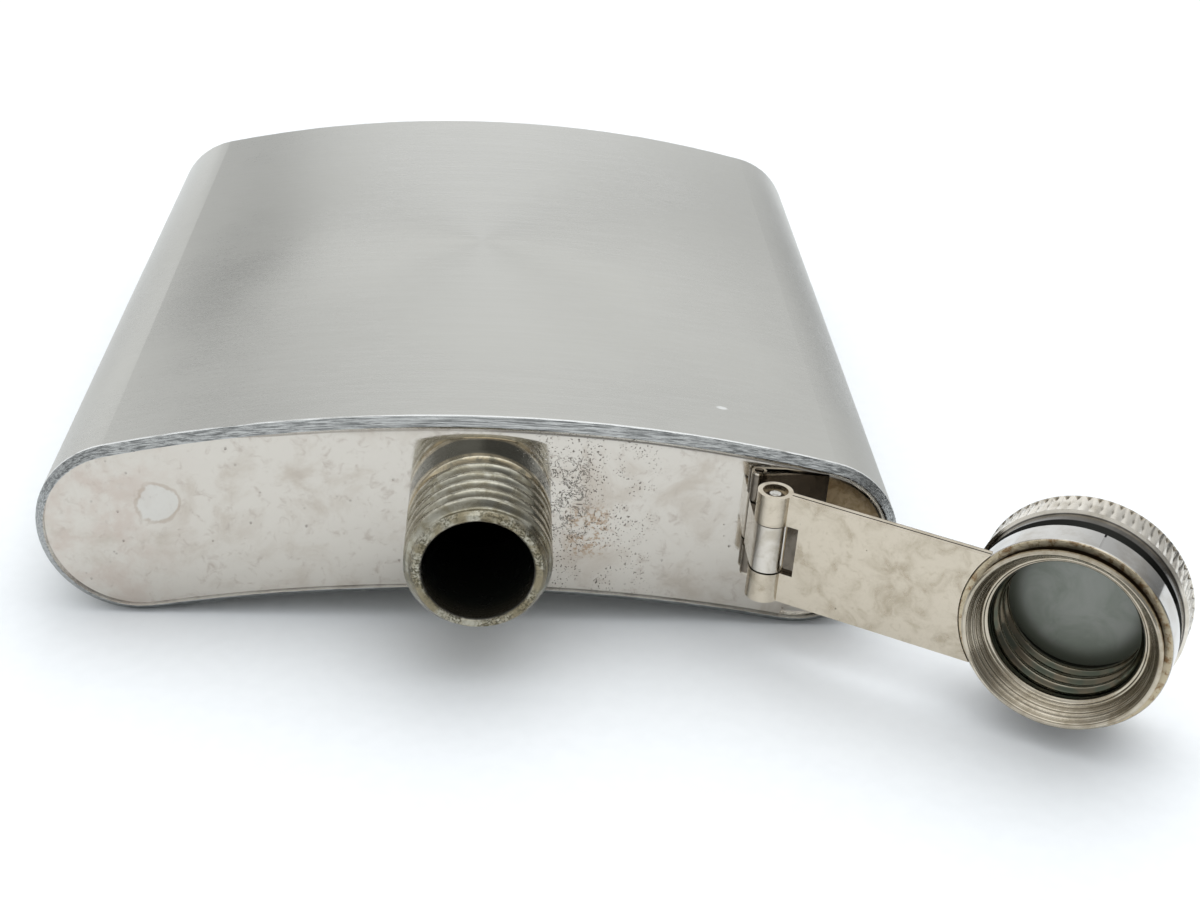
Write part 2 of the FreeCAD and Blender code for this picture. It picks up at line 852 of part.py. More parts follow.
os.makedirs("parts", exist_ok=True)
for item in subparts:
    if item.Shape.isNull() or not item.Shape.isValid():
        raise RuntimeError(f"{item.Label} has no valid shape")
    item.Shape.exportStep(f"parts/{item.Label}.step")
    box = item.Shape.BoundBox
    print(f"{item.Label}: solids {len(item.Shape.Solids)}, volume {item.Shape.Volume:.1f} mm3, "
          f"x {box.XMin:.2f} to {box.XMax:.2f}, y {box.YMin:.2f} to {box.YMax:.2f}, "
          f"z {box.ZMin:.2f} to {box.ZMax:.2f}")
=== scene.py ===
import json
import math

import bpy
from mathutils import Matrix, Vector, noise


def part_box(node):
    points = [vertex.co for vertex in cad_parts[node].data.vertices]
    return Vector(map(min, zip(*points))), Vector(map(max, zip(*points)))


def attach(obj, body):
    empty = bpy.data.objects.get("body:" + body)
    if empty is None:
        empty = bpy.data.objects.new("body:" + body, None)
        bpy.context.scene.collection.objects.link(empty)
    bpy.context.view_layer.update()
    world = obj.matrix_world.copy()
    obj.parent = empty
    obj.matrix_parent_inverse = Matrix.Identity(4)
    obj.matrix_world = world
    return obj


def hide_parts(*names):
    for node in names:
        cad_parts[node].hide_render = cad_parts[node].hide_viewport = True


# Looks for the hip flask: threaded, turned and knurled pieces, worn metal finishes, light, floor and camera.
# Everything is in metres, in the frame's own axes: +Y into the flask, +Z up from its hollow back.

MM = 0.001
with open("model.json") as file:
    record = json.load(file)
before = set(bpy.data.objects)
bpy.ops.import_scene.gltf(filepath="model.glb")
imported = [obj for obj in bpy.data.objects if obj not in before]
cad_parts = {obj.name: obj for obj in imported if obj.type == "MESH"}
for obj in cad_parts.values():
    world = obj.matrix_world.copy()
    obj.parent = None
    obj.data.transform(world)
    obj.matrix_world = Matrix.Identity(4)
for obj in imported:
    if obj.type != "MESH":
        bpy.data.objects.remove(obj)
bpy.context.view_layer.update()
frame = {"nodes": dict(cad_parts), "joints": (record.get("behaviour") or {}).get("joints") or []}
nodes = frame["nodes"]
joints = {joint["name"]: joint for joint in frame["joints"]}


# ---- places read from the frame ----------------------------------------------------------------

NECK_AXIS = Vector((0, -1, 0))
NECK_BASE = Vector((0, 0, 0))
CAP_AXIS = Vector(joints["cap_spin"]["axis"]).normalized()
CAP_LIP = Vector(joints["cap_spin"]["pos_m"])
HINGE_AXIS = Vector(joints["arm_swing"]["axis"]).normalized()
ARM_PIN = Vector(joints["arm_swing"]["pos_m"])
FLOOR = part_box("body_shell")[0].z


# ---- sizes -------------------------------------------------------------------------------------

BORE_RADIUS = 5.75 * MM
NECK_RADIUS = 7.65 * MM
NECK_TIP = 12.55 * MM
FLANGE_RADIUS = 8.45 * MM
THREAD_PITCH = 1.8 * MM
THREAD_DEPTH = 0.6 * MM

# The cone inside the sleeve's mouth: its radius and depth at the lip, and how fast it closes.
MOUTH_RADIUS = 9.6 * MM
MOUTH_EDGE = 0.05 * MM
MOUTH_SLOPE = 0.684

HEAD_RADIUS = 11.0 * MM
GRIP_START = -7.6 * MM
GRIP_END = -10.9 * MM
KNURL_COUNT = 62
KNURL_ROW = 1.1 * MM
KNURL_STEPS = 8
KNURL_DEPTH = 0.32 * MM

TURN_SIDES = 240
SHARP_EDGE = math.radians(38)
FLOOR_HALF = 4.0


# ---- node graphs -------------------------------------------------------------------------------


class Graph:
    """The nodes of a material or a world. Each method adds nodes and returns the socket that they make."""

    def __init__(self, owner, coordinates="Object"):
        owner.use_nodes = True
        self.owner = owner
        self.tree = owner.node_tree
        self.tree.nodes.clear()
        self.place = self.add("ShaderNodeTexCoord").outputs[coordinates]

    def add(self, kind, **settings):
        node = self.tree.nodes.new(kind)
        for key, value in settings.items():
            setattr(node, key, value)
        return node

    def feed(self, socket, value):
        if isinstance(value, bpy.types.NodeSocket):
            self.tree.links.new(value, socket)
        elif isinstance(value, (tuple, list)) and len(value) == 3 and socket.type == "RGBA":
            socket.default_value = (*value, 1)
        else:
            socket.default_value = value

    def math(self, operation, first, second=0.0, third=0.0):
        node = self.add("ShaderNodeMath", operation=operation)
        for socket, value in zip(node.inputs, (first, second, third)):
            self.feed(socket, value)
        return node.outputs[0]

    def vector(self, operation, first, second=(0, 0, 0), scale=1.0):
        node = self.add("ShaderNodeVectorMath", operation=operation)
        self.feed(node.inputs[0], first)
        if operation == "SCALE":
            self.feed(node.inputs["Scale"], scale)
        else:
            self.feed(node.inputs[1], second)
        return node.outputs["Value" if operation in ("DOT_PRODUCT", "LENGTH") else "Vector"]

    def along(self, point, axis):
        """How far each place is past the point, along the axis."""
        return self.vector("DOT_PRODUCT", self.vector("SUBTRACT", self.place, tuple(point)), tuple(axis))

    def around(self, point, axis):
        """How far each place is from the line through the point along the axis."""
        away = self.vector("SUBTRACT", self.place, tuple(point))
        height = self.vector("DOT_PRODUCT", away, tuple(axis))
        lifted = self.vector("SCALE", tuple(axis), scale=height)
        return self.vector("LENGTH", self.vector("SUBTRACT", away, lifted))

    def scaled(self, value, factor):
        return self.math("MULTIPLY", value, factor)

    def rest(self, share):
        """What the share leaves of 1."""
        return self.math("SUBTRACT", 1.0, share)

    def normal(self):
        """The mesh's own normal, in the frame's axes."""
        return self.add("ShaderNodeNewGeometry").outputs["Normal"]

    def parts(self):
        """The place's three coordinates."""
        node = self.add("ShaderNodeSeparateXYZ")
        self.feed(node.inputs[0], self.place)
        return node.outputs

    def between(self, value, start, end, soft):
        """1 from start to end, falling softly to 0 outside them."""
        rising = self.spread(value, start - soft, start)
        return self.math("MULTIPLY", rising, self.spread(value, end + soft, end))

    def both(self, *shares):
        """The product of the shares: 1 only where all of them are."""
        result = shares[0]
        for share in shares[1:]:
            result = self.math("MULTIPLY", result, share)
        return result

    def stretched(self, factors):
        """The place with each coordinate scaled. A small factor draws the noise out along that axis."""
        return self.vector("MULTIPLY", self.place, factors)

    def noise(self, size, detail=3.0, roughness=0.5, place=None, distortion=0.0):
        """Noise whose lumps are about this size in metres."""
        node = self.add("ShaderNodeTexNoise")
        self.feed(node.inputs["Vector"], place or self.place)
        self.feed(node.inputs["Scale"], 1 / size)
        self.feed(node.inputs["Detail"], detail)
        self.feed(node.inputs["Roughness"], roughness)
        self.feed(node.inputs["Distortion"], distortion)
        return node.outputs[0]

    def cells(self, size, place=None):
        """The distance to the nearest of scattered points about this far apart, in cell sizes."""
        node = self.add("ShaderNodeTexVoronoi")
        self.feed(node.inputs["Vector"], place or self.place)
        self.feed(node.inputs["Scale"], 1 / size)
        return node.outputs["Distance"]

    def spread(self, value, low, high, to_low=0.0, to_high=1.0, smooth=True):
        """The value stretched from one range to another, and held at its ends."""
        node = self.add("ShaderNodeMapRange")
        node.interpolation_type = "SMOOTHSTEP" if smooth else "LINEAR"
        for name, number in (("Value", value), ("From Min", low), ("From Max", high),
                             ("To Min", to_low), ("To Max", to_high)):
            self.feed(node.inputs[name], number)
        return node.outputs[0]

    def mix(self, share, first, second):
        """The first colour where the share is 0, the second where it is 1."""
        node = self.add("ShaderNodeMix", data_type="RGBA")
        self.feed(node.inputs["Factor"], share)
        self.feed(node.inputs[6], first)
        self.feed(node.inputs[7], second)
        return node.outputs[2]

    def bump(self, height, distance, strength=1.0, normal=None):
        """The normal over bumps whose height runs from 0 to 1 over the distance in metres."""
        node = self.add("ShaderNodeBump")
        self.feed(node.inputs["Height"], height)
        self.feed(node.inputs["Distance"], distance)
        self.feed(node.inputs["Strength"], strength)
        if normal is not None:
            self.feed(node.inputs["Normal"], normal)
        return node.outputs[0]

    def surface(self, colour, roughness, metallic=1.0, normal=None, **constants):
        """Ends the material. A constant's name is its socket's name with _ for each space."""
        shader = self.add("ShaderNodeBsdfPrincipled")
        self.feed(shader.inputs["Base Color"], colour)
        self.feed(shader.inputs["Roughness"], roughness)
        self.feed(shader.inputs["Metallic"], metallic)
        if normal is not None:
            self.feed(shader.inputs["Normal"], normal)
        for name, value in constants.items():
            shader.inputs[name.replace("_", " ")].default_value = value
        output = self.add("ShaderNodeOutputMaterial")
        self.tree.links.new(shader.outputs[0], output.inputs[0])
        return self.owner


# ---- materials ---------------------------------------------------------------------------------


def new_material(name):
    return Graph(bpy.data.materials.new(name))


def brushed_shell():
    """Satin steel with lines across the width, and a finer brushed bevel at each rim. Painted highlights
    brighten a line at each rim's edge and the wall next to each end.

    No tangent is linked, so the stretched reflections fan out round the body's middle and don't follow the
    lines.
    """
    steel_dark, steel_light = (0.475, 0.465, 0.435), (0.515, 0.505, 0.47)
    line_colour, speck_colour = (0.56, 0.55, 0.52), (0.8, 0.8, 0.78)
    rim_dark, rim_light = (0.14, 0.145, 0.145), (0.44, 0.45, 0.445)
    edge_colour, wall_highlight_colour = (0.85, 0.85, 0.84), (0.9, 0.9, 0.88)
    bevel_inner, bevel_outer = 0.8 * MM, 0.9 * MM
    g = new_material("brushed_shell")
    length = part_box("body_shell")[1].y
    middle = g.math("SUBTRACT", g.parts()[1], length / 2)
    from_end = g.math("SUBTRACT", length / 2, g.math("ABSOLUTE", middle))
    rim = g.spread(from_end, bevel_outer, bevel_inner)
    edge = g.between(from_end, 0.85 * MM, 1.05 * MM, 0.05 * MM)
    lines = g.noise(0.11 * MM, 3, 0.6, g.stretched((0.012, 1, 1)))
    broad_lines = g.noise(0.7 * MM, 3, 0.65, g.stretched((0.02, 1, 1)))
    clouds = g.noise(28 * MM, 3, 0.5)
    rim_lines = g.noise(0.13 * MM, 4, 0.7, g.stretched((0.025, 1, 0.5)), 0.3)
    colour = g.mix(g.spread(clouds, 0.3, 0.7), steel_dark, steel_light)
    colour = g.mix(g.spread(broad_lines, 0.35, 0.75, 0, 0.3), colour, line_colour)
    specks = g.cells(9 * MM, g.stretched((0.55, 1, 1)))
    speck = g.both(g.spread(specks, 0.05, 0.025), g.spread(g.noise(14 * MM), 0.5, 0.6))
    colour = g.mix(speck, colour, speck_colour)
    colour = g.mix(rim, colour, g.mix(g.spread(rim_lines, 0.36, 0.62), rim_dark, rim_light))
    # Painted highlight: a bright line at the edge between the body and each bevel.
    colour = g.mix(g.both(edge, g.spread(broad_lines, 0.3, 0.5)), colour, edge_colour)
    # Painted highlight: the wall next to each end, where the normal lies across the length, is made near
    # white.
    steepness = g.math("ABSOLUTE", g.vector("DOT_PRODUCT", g.normal(), (0, 1, 0)))
    wall_highlight = g.both(g.spread(steepness, 0.3, 0.2), g.spread(from_end, 0.8 * MM, 0.75 * MM))
    colour = g.mix(wall_highlight, colour, wall_highlight_colour)
    roughness = g.spread(lines, 0.2, 0.8, 0.25, 0.35)
    roughness = g.math("ADD", roughness, g.spread(clouds, 0.3, 0.7, -0.03, 0.03))
    roughness = g.math("SUBTRACT", roughness, g.scaled(rim, 0.1))
    normal = g.bump(lines, 0.006 * MM)
    normal = g.bump(g.both(rim_lines, rim), 0.06 * MM, 1.0, normal)
    return g.surface(colour, roughness, 1.0, normal, Anisotropic=0.85)


def stains(g, clean, stained, size, low=0.5, high=0.7):
    """A blotchy stain over a clean colour."""
    blotch = g.noise(size, 6, 0.62, None, 0.6)
    return g.mix(g.spread(blotch, low, high), clean, stained), blotch


def plate_edge_distance(g):
    """How far each place of an end plate is in from the upper edge of its outline.

    The edge is a wide crown between two small end arcs. A place belongs to an end arc when it is past the
    line from the crown's centre through that arc's centre.
    """
    across, _, up = g.parts()
    centre_x = -0.8 * MM
    crown_z, crown = -156.197 * MM, 166.05 * MM
    end_x, end_z, end_radius = 36.5 * MM, -3.5 * MM, 9.05 * MM
    slope = end_x / (end_z - crown_z)
    side = g.math("ABSOLUTE", g.math("SUBTRACT", across, centre_x))

    def inside(middle_x, middle_z, radius):
        run = g.math("SUBTRACT", side, middle_x)
        rise = g.math("SUBTRACT", up, middle_z)
        squares = g.math("ADD", g.math("MULTIPLY", run, run), g.math("MULTIPLY", rise, rise))
        return g.math("SUBTRACT", radius, g.math("SQRT", squares))

    height = g.math("SUBTRACT", up, end_z)
    past = g.math("SUBTRACT", side, g.math("MULTIPLY_ADD", height, slope, end_x))
    at_end = g.math("GREATER_THAN", past, 0)
    crown_share = g.math("MULTIPLY", inside(0, crown_z, crown), g.rest(at_end))
    return g.math("MULTIPLY_ADD", inside(end_x, end_z, end_radius), at_end, crown_share)


def plate_stains(g, across):
    """The plate's clean colour under coarse and fine stains, and the two stain noises."""
    colour, blotch = stains(g, (0.60, 0.565, 0.51), (0.50, 0.45, 0.39), 7 * MM, 0.48, 0.70)
    colour, fine_blotch = stains(g, colour, (0.47, 0.42, 0.37), 1.3 * MM, 0.52, 0.75)
    smudge_colour = (0.52, 0.44, 0.385)
    smudged = g.both(g.spread(across, -28 * MM, -40 * MM), g.spread(g.noise(4 * MM, 5, 0.65), 0.4, 0.65))
    return g.mix(g.scaled(smudged, 0.7), colour, smudge_colour), blotch, fine_blotch


def plate_pits(g, colour, across, up):
    """Pits, a crusted edge and rust to the right of the neck. Returns the colour and what is sunk."""
    pit_colour, crust_colour, rust_colour = (0.12, 0.10, 0.085), (0.10, 0.095, 0.08), (0.31, 0.20, 0.11)
    near_neck = g.between(across, 9 * MM, 15 * MM, 6 * MM)
    pit_noise = g.noise(0.26 * MM, 2, 0.5)
    pit = g.both(g.spread(pit_noise, 0.62, 0.67), g.spread(g.noise(2.6 * MM, 3), 0.42, 0.58), near_neck)
    dot = g.both(g.spread(g.cells(1.5 * MM), 0.13, 0.07), g.spread(g.noise(5 * MM), 0.5, 0.62))
    pit = g.math("MAXIMUM", pit, g.scaled(dot, 0.45))
    colour = g.mix(pit, colour, pit_colour)
    crust = g.noise(1.7 * MM, 4, 0.75, None, 1.2)
    crust_line = g.both(g.between(crust, 0.49, 0.5, 0.008), g.between(across, 7 * MM, 10.5 * MM, 1.5 * MM),
                        g.between(up, -2 * MM, 5 * MM, 2 * MM))
    colour = g.mix(g.scaled(crust_line, 0.85), colour, crust_colour)
    rust_place = g.both(g.between(across, 10.5 * MM, 13 * MM, 2 * MM),
                        g.between(up, -4.5 * MM, -0.5 * MM, 2 * MM))
    rust = g.both(g.spread(g.noise(0.55 * MM, 5, 0.7), 0.49, 0.58), rust_place)
    colour = g.mix(g.scaled(rust, 0.7), colour, rust_colour)
    return colour, g.math("MAXIMUM", pit, crust_line)


def weld_mark(g, colour, blotch):
    """The uneven pale disc of a weld at the plate's left end, with a brown ring round it."""
    disc_colour, ring_colour = (0.60, 0.595, 0.565), (0.40, 0.33, 0.27)
    centre = Vector((-34.1, 0, -0.3)) * MM
    unevenness = 1.6 * MM
    away = g.around(centre, (0, 1, 0))
    away = g.math("ADD", away, g.spread(blotch, 0.2, 0.8, -unevenness, unevenness, False))
    colour = g.mix(g.scaled(g.spread(away, 2.5 * MM, 2.1 * MM), 0.5), colour, disc_colour)
    ring = g.both(g.between(away, 2.35 * MM, 2.55 * MM, 0.2 * MM), g.spread(blotch, 0.4, 0.55))
    return g.mix(g.scaled(ring, 0.55), colour, ring_colour)


def polished_plate():
    """Polished steel plate: stains, pits beside the neck, a golden-brown patch behind the hinge."""
    golden_patch_light, golden_patch_dark = (0.66, 0.53, 0.35), (0.42, 0.31, 0.18)
    fringe_colour, seam_shade_colour = (0.10, 0.09, 0.07), (0.02, 0.02, 0.018)
    rolled_width, rolled_drop = 1.7 * MM, 0.11 / MM
    g = new_material("polished_plate")
    across, depth, up = g.parts()
    colour, blotch, fine_blotch = plate_stains(g, across)
    colour, sunk = plate_pits(g, colour, across, up)

    # A golden-brown patch is painted behind the hinge; it ends in a dark fringe along the plate's upper
    # edge.
    inside = plate_edge_distance(g)
    near_front = g.spread(depth, 5 * MM, 4 * MM)
    behind = g.both(g.spread(across, 36.6 * MM, 37.3 * MM), near_front,
                    g.spread(inside, 0.62 * MM, 0.7 * MM))
    golden_patch = g.mix(g.spread(fine_blotch, 0.35, 0.62), golden_patch_light, golden_patch_dark)
    colour = g.mix(behind, colour, golden_patch)
    fringe = g.both(g.spread(across, 37 * MM, 39 * MM), near_front,
                    g.between(inside, 0.6 * MM, 0.72 * MM, 0.08 * MM))
    colour = g.mix(g.scaled(fringe, 0.7), colour, fringe_colour)

    # Painted shade makes the seam round each plate dark, and it fades at the left and the bottom.
    seam = g.math("MINIMUM", g.spread(depth, 0.48 * MM, 0.6 * MM), g.spread(depth, 99.84 * MM, 99.74 * MM))
    seam = g.both(seam, g.spread(across, -34 * MM, -12 * MM), g.spread(up, -8 * MM, -2 * MM, 0.3, 1.0))
    colour = g.mix(seam, colour, seam_shade_colour)
    colour = weld_mark(g, colour, blotch)

    roughness = g.spread(blotch, 0.35, 0.75, 0.05, 0.14)
    roughness = g.math("ADD", roughness, g.spread(fine_blotch, 0.45, 0.8, 0, 0.15))
    roughness = g.math("ADD", roughness, g.scaled(behind, 0.25))

    # The upper edge rolls inward, except at the left end, where the seam is filled flat.
    rolled = g.math("MAXIMUM", g.math("SUBTRACT", rolled_width, inside), 0)
    drop = g.scaled(g.math("MULTIPLY", rolled, rolled), -rolled_drop)
    drop = g.math("MULTIPLY", drop, g.spread(across, -30 * MM, -12 * MM))
    filled = g.math("MAXIMUM", g.spread(across, -12 * MM, -34 * MM), g.spread(up, -2 * MM, -7 * MM))
    filled = g.both(filled, g.spread(across, 38 * MM, 34 * MM), g.spread(depth, 0.3 * MM, 0.32 * MM),
                    near_front)
    level = g.vector("SCALE", (0, -1, 0), scale=filled)
    kept = g.vector("SCALE", g.normal(), scale=g.rest(filled))
    normal = g.bump(drop, 1.0, 1.0, g.vector("NORMALIZE", g.vector("ADD", level, kept)))
    normal = g.bump(g.noise(6 * MM, 2), 0.03 * MM, 1.0, normal)
    normal = g.bump(g.scaled(sunk, -1), 0.06 * MM, 1.0, normal)
    return g.surface(colour, roughness, 1.0, normal)


def neck_metal():
    """Worn plating: painted brown shade in the thread's roots and painted highlights on its crests, painted
    shade at its base, pitted at the lip, and painted dark shade in the bore.
    """
    olive, olive_dark, ring_colour = (0.41, 0.395, 0.33), (0.25, 0.225, 0.16), (0.20, 0.19, 0.15)
    gold_colour, root_shade_colour, crest_highlight_colour = (0.55, 0.455, 0.30), (0.13, 0.115, 0.085), (0.58, 0.55, 0.46)
    base_shade_colour, pit_colour = (0.15, 0.155, 0.14), (0.07, 0.06, 0.035)
    lip_light, lip_dark = (0.42, 0.40, 0.325), (0.25, 0.215, 0.14)
    bore_shade_deep, bore_shade_mouth = (0.010, 0.011, 0.009), (0.026, 0.023, 0.016)
    g = new_material("neck_metal")
    radius = g.around(NECK_BASE, NECK_AXIS)
    height = g.along(NECK_BASE, NECK_AXIS)
    grime = g.noise(1.9 * MM, 6, 0.66, None, 0.6)
    rings = g.noise(0.35 * MM, 3, 0.6, g.stretched((0.06, 1, 0.06)))
    colour = g.mix(g.spread(grime, 0.36, 0.66), olive, olive_dark)
    colour = g.mix(g.spread(rings, 0.45, 0.75, 0, 0.5), colour, ring_colour)
    gold = g.both(g.between(height, 1.5 * MM, 3.2 * MM, 0.4 * MM), g.spread(grime, 0.6, 0.45))
    colour = g.mix(g.scaled(gold, 0.8), colour, gold_colour)
    # Painted shade: the thread's roots are darkened brown.
    root = g.both(g.spread(radius, 7.5 * MM, 7.1 * MM), g.spread(height, 11.4 * MM, 11.0 * MM))
    colour = g.mix(g.scaled(root, 0.75), colour, root_shade_colour)
    # Painted highlight: the thread's crests are made lighter.
    crest = g.both(g.spread(radius, 7.52 * MM, 7.6 * MM), g.between(height, 1.3 * MM, 11.2 * MM, 0.3 * MM),
                   g.spread(grime, 0.62, 0.42, 0.15, 0.55))
    colour = g.mix(crest, colour, crest_highlight_colour)
    # Painted shade: the neck is made dark next to the plate, below the thread.
    base = g.between(height, -0.4 * MM, 1.3 * MM, 0.2 * MM)
    colour = g.mix(g.scaled(base, 0.85), colour, base_shade_colour)
    lip = g.spread(height, 11.5 * MM, 12.5 * MM)
    speckle = g.noise(0.26 * MM, 4, 0.7)
    pitted = g.both(g.spread(speckle, 0.46, 0.55), g.spread(g.noise(2.4 * MM, 3), 0.36, 0.55))
    lip_clean = g.mix(g.spread(grime, 0.4, 0.6), lip_light, lip_dark)
    colour = g.mix(g.scaled(lip, 0.85), colour, g.mix(pitted, lip_clean, pit_colour))
    # Painted shade: the bore is near black, darkest deepest in.
    bore = g.spread(radius, 5.9 * MM, 5.78 * MM)
    colour = g.mix(bore, colour, g.mix(g.spread(height, 9 * MM, 12.3 * MM), bore_shade_deep, bore_shade_mouth))
    roughness = g.math("ADD", g.spread(grime, 0.3, 0.7, 0.12, 0.30), g.scaled(lip, 0.15))
    metallic = g.rest(g.scaled(bore, 0.95))
    normal = g.bump(speckle, 0.03 * MM, g.math("ADD", g.scaled(lip, 0.8), 0.2))
    normal = g.bump(grime, 0.05 * MM, 0.6, normal)
    normal = g.bump(rings, 0.02 * MM, 1.0, normal)
    return g.surface(colour, roughness, metallic, normal)


def nickel(g, clean, stained, low_gloss, high_gloss, dark=None):
    """Dull nickel plate with fine stains, scratches and pits. Dark is the share painted with brown shade."""
    pit_colour = (0.14, 0.12, 0.09)
    painted_shade_light, painted_shade_dark = (0.10, 0.078, 0.057), (0.05, 0.04, 0.03)
    colour, blotch = stains(g, clean, stained, 3.0 * MM, 0.42, 0.75)
    streak = g.noise(0.8 * MM, 5, 0.7, None, 0.6)
    colour = g.mix(g.spread(streak, 0.5, 0.75, 0, 0.6), colour, stained)
    pit = g.spread(g.cells(2.1 * MM), 0.06, 0.03)
    colour = g.mix(g.scaled(pit, 0.8), colour, pit_colour)
    # Painted shade: the dark share is coloured a streaky dark brown.
    if dark is not None:
        painted_shade = g.mix(g.spread(streak, 0.4, 0.7), painted_shade_light, painted_shade_dark)
        colour = g.mix(dark, colour, painted_shade)
    roughness = g.spread(blotch, 0.35, 0.7, low_gloss, high_gloss)
    normal = g.bump(g.noise(2.2 * MM, 3), 0.035 * MM)
    normal = g.bump(g.noise(0.25 * MM, 3, 0.6), 0.004 * MM, 1.0, normal)
    return g.surface(colour, roughness, 1.0, normal)


def arm_nickel():
    """The arm: beige nickel in front, with painted brown shade on the side that faces the flask, in its seam
    and inside its eye.
    """
    clean, stained = (0.60, 0.535, 0.435), (0.42, 0.36, 0.27)
    g = new_material("arm_nickel")
    depth = g.along(ARM_PIN, CAP_AXIS)
    away = g.around(ARM_PIN, HINGE_AXIS)
    # Painted shade: the back side, the seam along the top edge and the inside of the eye go dark brown.
    back = g.both(g.spread(depth, -0.5 * MM, -0.58 * MM), g.spread(away, 1.8 * MM, 1.95 * MM))
    seam = g.both(g.between(depth, -0.075 * MM, 0.075 * MM, 0.02 * MM), g.spread(away, 1.85 * MM, 1.95 * MM))
    in_eye = g.spread(away, 1.14 * MM, 1.1 * MM)
    dark = g.math("MAXIMUM", g.scaled(back, 0.85), g.math("MAXIMUM", seam, in_eye))
    return nickel(g, clean, stained, 0.14, 0.30, dark)


def bracket_nickel():
    """The bracket: painted brown shade on its face and inside its curl, left brighter on its edges."""
    clean, stained = (0.62, 0.57, 0.49), (0.45, 0.39, 0.31)
    edge_width, edge_fade = 0.22 * MM, 0.1 * MM
    g = new_material("bracket_nickel")
    low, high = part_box("hinge_bracket")
    middle = Vector((ARM_PIN.x, 0, (low.z + high.z) / 2))
    height = g.math("ABSOLUTE", g.along(middle, HINGE_AXIS))
    half = (high.z - low.z) / 2 - edge_width
    # Painted shade: all but a strip at the bracket's top and bottom goes dark brown.
    face = g.spread(height, half, half - edge_fade)
    return nickel(g, clean, stained, 0.08, 0.2, g.scaled(face, 0.8))


def link_nickel():
    clean, stained = (0.66, 0.62, 0.56), (0.46, 0.41, 0.33)
    return nickel(new_material("link_nickel"), clean, stained, 0.10, 0.2)


def collar_nickel():
    """The ring: a mirror-like band outside and a brown, eaten face at its front, with painted shadow at the
    face's inner edge and painted shade in its bore.
    """
    worn_light, worn_dark, lip_shadow_colour = (0.56, 0.48, 0.34), (0.26, 0.16, 0.08), (0.09, 0.055, 0.03)
    band_light, band_dark, bore_shade_colour = (0.58, 0.565, 0.54), (0.46, 0.43, 0.385), (0.05, 0.045, 0.035)
    front_behind_lip = 1.35 * MM
    g = new_material("collar_nickel")
    radius = g.around(CAP_LIP, CAP_AXIS)
    height = g.along(CAP_LIP - CAP_AXIS * front_behind_lip, CAP_AXIS)
    front = g.spread(height, -0.12 * MM, -0.03 * MM)
    patch = g.noise(1.1 * MM, 6, 0.7, None, 0.4)
    worn = g.mix(g.spread(patch, 0.47, 0.64), worn_light, worn_dark)
    # Painted shadow: the face's inner edge, behind the sleeve's lip, goes near-black brown.
    worn = g.mix(g.spread(radius, 9.95 * MM, 9.8 * MM), worn, lip_shadow_colour)
    band = g.mix(g.spread(g.noise(2.5 * MM, 4), 0.4, 0.75), band_light, band_dark)
    colour = g.mix(front, band, worn)
    # Painted shade: the bore of the ring is near black.
    inside = g.both(g.spread(radius, 10.4 * MM, 10.2 * MM), g.rest(front))
    colour = g.mix(inside, colour, bore_shade_colour)
    roughness = g.math("ADD", g.scaled(front, 0.3), 0.07)
    normal = g.bump(g.both(patch, front), 0.12 * MM)
    return g.surface(colour, roughness, 1.0, normal)


def turned_lines(g):
    """Fine uneven lines round the cap's axis, and the distance from the axis and from the mouth."""
    radius = g.around(CAP_LIP, CAP_AXIS)
    height = g.along(CAP_LIP, CAP_AXIS)
    rings = g.add("ShaderNodeCombineXYZ")
    g.feed(rings.inputs[0], radius)
    g.feed(rings.inputs[1], height)
    return g.noise(0.2 * MM, 3, 0.65, rings.outputs[0]), radius, height


def sleeve_metal():
    """The sleeve: turned lines in its mouth, painted black shade under the collar, painted green-black shade
    between the threads.
    """
    clean, stained, line_colour = (0.56, 0.505, 0.41), (0.36, 0.305, 0.22), (0.22, 0.185, 0.13)
    shank_shade_colour, green, brown = (0.03, 0.032, 0.028), (0.065, 0.075, 0.055), (0.12, 0.10, 0.07)
    g = new_material("sleeve_metal")
    lines, radius, height = turned_lines(g)
    blotch = g.noise(2.6 * MM, 5, 0.6, None, 0.4)
    colour = g.mix(g.spread(blotch, 0.42, 0.75), clean, stained)
    in_mouth = g.both(g.spread(radius, 9.62 * MM, 9.55 * MM), g.spread(height, -2.1 * MM, -1.95 * MM))
    colour = g.mix(g.both(g.spread(lines, 0.42, 0.6, 0, 0.75), in_mouth), colour, line_colour)
    # Painted shade: the shank behind the mouth's cone, under the collar, is near black.
    cone = g.math("MULTIPLY_ADD", g.math("ADD", height, MOUTH_EDGE), MOUTH_SLOPE, MOUTH_RADIUS)
    behind_cone = g.spread(g.math("SUBTRACT", radius, cone), 0.018 * MM, 0.03 * MM)
    shank = g.both(behind_cone, g.between(height, -5.53 * MM, -0.52 * MM, 0.02 * MM),
                   g.spread(radius, 8.8 * MM, 8.95 * MM))
    colour = g.mix(shank, colour, shank_shade_colour)
    # Painted shade deep in the mouth: green-black, with the thread's crests taking only half of it.
    deep = g.both(g.spread(height, -2.15 * MM, -2.5 * MM), g.spread(radius, 8.2 * MM, 7.9 * MM))
    crest_share = g.spread(radius, 7.17 * MM, 7.3 * MM, 0.5, 0.97)
    colour = g.mix(g.both(deep, crest_share), colour, g.mix(g.spread(blotch, 0.4, 0.6), green, brown))
    roughness = g.math("ADD", g.spread(lines, 0.3, 0.7, 0.0, 0.08), 0.10)
    roughness = g.math("ADD", roughness, g.spread(blotch, 0.4, 0.7, 0, 0.1))
    roughness = g.math("SUBTRACT", roughness, g.scaled(deep, 0.05))
    normal = g.bump(lines, g.math("MULTIPLY_ADD", in_mouth, 0.05 * MM, 0.01 * MM))
    return g.surface(colour, roughness, 1.0, normal)


